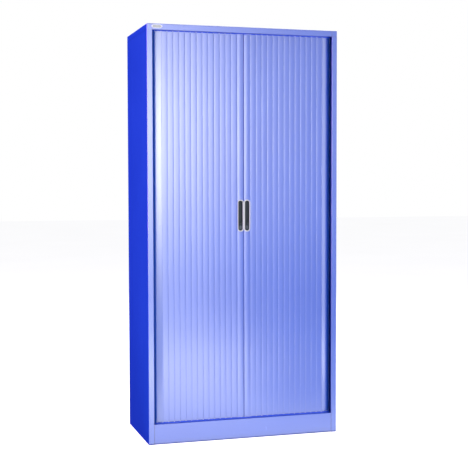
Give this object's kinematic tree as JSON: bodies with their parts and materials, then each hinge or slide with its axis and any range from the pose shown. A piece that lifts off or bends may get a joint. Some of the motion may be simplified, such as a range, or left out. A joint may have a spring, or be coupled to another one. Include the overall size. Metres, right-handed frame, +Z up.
{
  "type": "tambour door cupboard",
  "caption": "Tall steel cupboard with two tambour doors that slide round into its sides, recessed pulls, a cam lock, adjustable shelves and levelling feet.",
  "frame": {"origin": "centre of the footprint, on the floor", "axes": "+X to the right seen from the front, +Y from the front to the back, +Z up"},
  "size_m": [0.914, 0.457, 1.905],
  "materials": {
    "blue_paint": "fine textured powder coat, satin",
    "track_blue": "moulded",
    "strip_blue": "matte",
    "glide_nylon": "moulded",
    "stop_rubber": "matte",
    "pull_black": "fine grain",
    "rim_grey": "satin",
    "lock_metal": "black nickel plated",
    "zinc_steel": "zinc plated",
    "foot_plastic": "moulded"
  },
  "bodies": {
    "carcass": {"left_side_panel": "blue_paint", "right_side_panel": "blue_paint", "back_panel": "blue_paint", "top_cap": "blue_paint", "top_panel": "blue_paint", "base_panel": "blue_paint", "plinth": "blue_paint", "left_liner": "blue_paint", "right_liner": "blue_paint", "bottom_left_track": "track_blue", "bottom_right_track": "track_blue", "top_left_track": "track_blue", "top_right_track": "track_blue", "shelf_1": "blue_paint", "shelf_2": "blue_paint", "shelf_3": "blue_paint", "shelf_4": "blue_paint", "track_end_stops": "stop_rubber", "shelf_clips": "zinc_steel", "foot_bushes": "zinc_steel", "back_rivets": "zinc_steel", "left_corner_slats": "blue_paint", "right_corner_slats": "blue_paint", "left_corner_glides": "glide_nylon", "right_corner_glides": "glide_nylon"},
    "left_door": {"left_stile": "blue_paint", "left_meeting_strip": "strip_blue", "left_handle_rim": "rim_grey", "left_handle_cup": "pull_black", "left_lock_blank": "pull_black", "strike_stud": "zinc_steel", "left_stile_glides": "glide_nylon"},
    "right_door": {"right_stile": "blue_paint", "right_meeting_strip": "strip_blue", "right_handle_rim": "rim_grey", "right_handle_cup": "pull_black", "right_stile_glides": "glide_nylon"},
    "lock": {"lock_barrel": "lock_metal", "lock_cam": "zinc_steel", "cam_screw": "zinc_steel"},
    "left_curtain": {"left_slats": "blue_paint", "left_slat_glides": "glide_nylon"},
    "right_curtain": {"right_slats": "blue_paint", "right_slat_glides": "glide_nylon"},
    "front_left_foot_body": {"front_left_foot": "foot_plastic"},
    "front_right_foot_body": {"front_right_foot": "foot_plastic"},
    "back_left_foot_body": {"back_left_foot": "foot_plastic"},
    "back_right_foot_body": {"back_right_foot": "foot_plastic"}
  },
  "joints": [
    {"name": "right_door_slide", "type": "slide", "parent": "carcass", "child": "right_door", "axis": [1, 0, 0], "range_m": [0, 0.35426]},
    {"name": "right_curtain_turn", "type": "hinge", "parent": "carcass", "child": "right_curtain", "pos_m": [0.21113, 0.01915, 0], "axis": [0, 0, 1], "range_deg": [0, 90], "deforming": ["right_slats", "right_slat_glides", "right_corner_slats", "right_corner_glides"]},
    {"name": "left_door_slide", "type": "slide", "parent": "carcass", "child": "left_door", "axis": [-1, 0, 0], "range_m": [0, 0.35426]},
    {"name": "left_curtain_turn", "type": "hinge", "parent": "carcass", "child": "left_curtain", "pos_m": [-0.21113, 0.01915, 0], "axis": [0, 0, -1], "range_deg": [0, 90], "deforming": ["left_slats", "left_slat_glides", "left_corner_slats", "left_corner_glides"]},
    {"name": "lock_turn", "type": "hinge", "parent": "right_door", "child": "lock", "pos_m": [0.0161, -0.21062, 0.9855], "axis": [0, -1, 0], "range_deg": [0, 90]},
    {"name": "front_left_foot_screw", "type": "slide", "parent": "carcass", "child": "front_left_foot_body", "axis": [0, 0, -1], "range_m": [0, 0.025]},
    {"name": "front_right_foot_screw", "type": "slide", "parent": "carcass", "child": "front_right_foot_body", "axis": [0, 0, -1], "range_m": [0, 0.025]},
    {"name": "back_left_foot_screw", "type": "slide", "parent": "carcass", "child": "back_left_foot_body", "axis": [0, 0, -1], "range_m": [0, 0.025]},
    {"name": "back_right_foot_screw", "type": "slide", "parent": "carcass", "child": "back_right_foot_body", "axis": [0, 0, -1], "range_m": [0, 0.025]}
  ],
  "couplings": [
    {"joint": "right_curtain_turn", "follows": "right_door_slide", "rad_per_m": 4.4341},
    {"joint": "left_curtain_turn", "follows": "left_door_slide", "rad_per_m": 4.4341}
  ]
}
